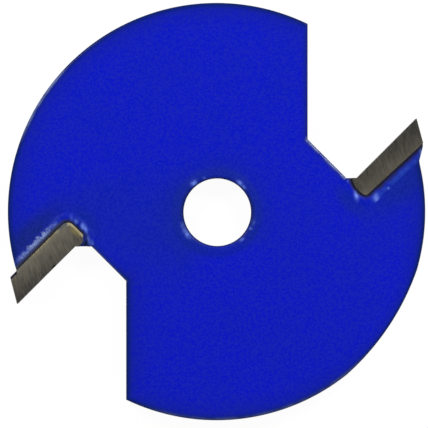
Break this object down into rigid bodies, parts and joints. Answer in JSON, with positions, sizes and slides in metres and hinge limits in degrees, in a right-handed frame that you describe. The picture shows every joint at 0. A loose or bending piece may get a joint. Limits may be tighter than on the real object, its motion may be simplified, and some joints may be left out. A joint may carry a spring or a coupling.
{
  "type": "slotting cutter",
  "caption": "Flat slotting cutter wheel with a plain arbor bore and hooked carbide tips brazed into its gulleted steel body, lacquered blue.",
  "frame": {"origin": "centre of the arbor bore, half way through the body's thickness", "axes": "+Z along the bore, away from the side that is seen turning counter-clockwise in use; +Y along the long walls of the gullets"},
  "size_m": [0.0391, 0.0391, 0.0032],
  "materials": {
    "blue_lacquered_steel": "dipped glossy blue lacquer over steel",
    "ground_carbide": "surface-ground tungsten carbide",
    "braze_alloy": "silver braze, ground bright at the edges and lacquered elsewhere"
  },
  "bodies": {
    "root": {"cutter_body": "blue_lacquered_steel", "right_carbide_tip": "ground_carbide", "left_carbide_tip": "ground_carbide", "right_braze_seam": "braze_alloy", "left_braze_seam": "braze_alloy"}
  },
  "joints": []
}
